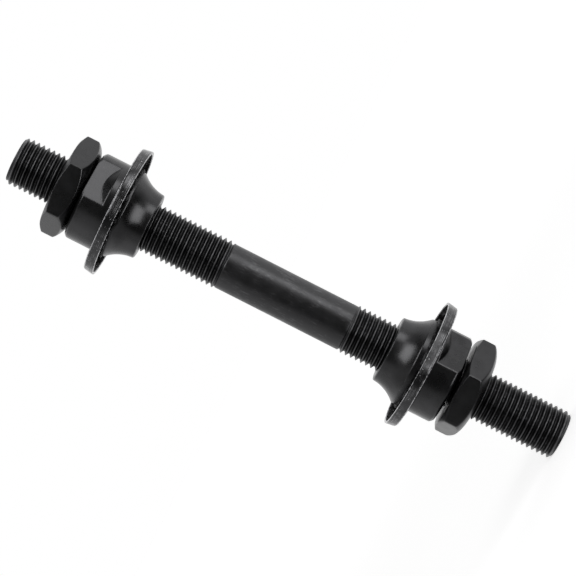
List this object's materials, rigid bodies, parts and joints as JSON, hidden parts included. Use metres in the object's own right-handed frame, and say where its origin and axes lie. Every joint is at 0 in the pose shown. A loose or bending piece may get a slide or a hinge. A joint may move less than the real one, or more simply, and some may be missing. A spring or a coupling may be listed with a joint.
{
  "type": "bicycle hub axle",
  "caption": "Hollow threaded front hub axle with bearing cones, pressed dust caps and hexagonal locknuts on both ends, in dark oxide-finished steel.",
  "frame": {"origin": "centre of the axle's lower end face, on the surface it stands on", "axes": "+Z along the axle, up to its upper end; the picture looks along +Y"},
  "size_m": [0.0242, 0.0242, 0.108],
  "materials": {
    "axle_steel": "black oxide, satin, lightly worn thread crests",
    "cone_steel": "black oxide, ground race, satin",
    "cap_steel": "black oxide on pressed sheet, worn bright at the edges",
    "nut_steel": "black oxide, satin"
  },
  "bodies": {
    "axle": {"axle": "axle_steel"},
    "lower_cap": {"lower_dust_cap": "cap_steel"},
    "lower_cone": {"lower_cone": "cone_steel"},
    "lower_locknut": {"lower_locknut": "nut_steel"},
    "upper_cap": {"upper_dust_cap": "cap_steel"},
    "upper_cone": {"upper_cone": "cone_steel"},
    "upper_locknut": {"upper_locknut": "nut_steel"}
  },
  "joints": [
    {"name": "lower_cone_travel", "type": "slide", "parent": "axle", "child": "lower_cap", "axis": [0, 0, 1], "range_m": [-0.007, 0.007]},
    {"name": "lower_cone_turn", "type": "hinge", "parent": "lower_cap", "child": "lower_cone", "pos_m": [0, 0, 0], "axis": [0, 0, 1], "range_deg": [-2520, 2520]},
    {"name": "lower_locknut_travel", "type": "slide", "parent": "lower_cone", "child": "lower_locknut", "axis": [0, 0, 1], "range_m": [-0.0085, 0.00068]},
    {"name": "upper_cone_travel", "type": "slide", "parent": "axle", "child": "upper_cap", "axis": [0, 0, 1], "range_m": [-0.015, 0.0045]},
    {"name": "upper_cone_turn", "type": "hinge", "parent": "upper_cap", "child": "upper_cone", "pos_m": [0, 0, 0], "axis": [0, 0, 1], "range_deg": [-5400, 1620]},
    {"name": "upper_locknut_travel", "type": "slide", "parent": "upper_cone", "child": "upper_locknut", "axis": [0, 0, 1], "range_m": [0, 0.005]}
  ],
  "couplings": [
    {"joint": "lower_cone_travel", "follows": "lower_cone_turn", "m_per_rad": 0.00015915},
    {"joint": "upper_cone_travel", "follows": "upper_cone_turn", "m_per_rad": 0.00015915}
  ]
}
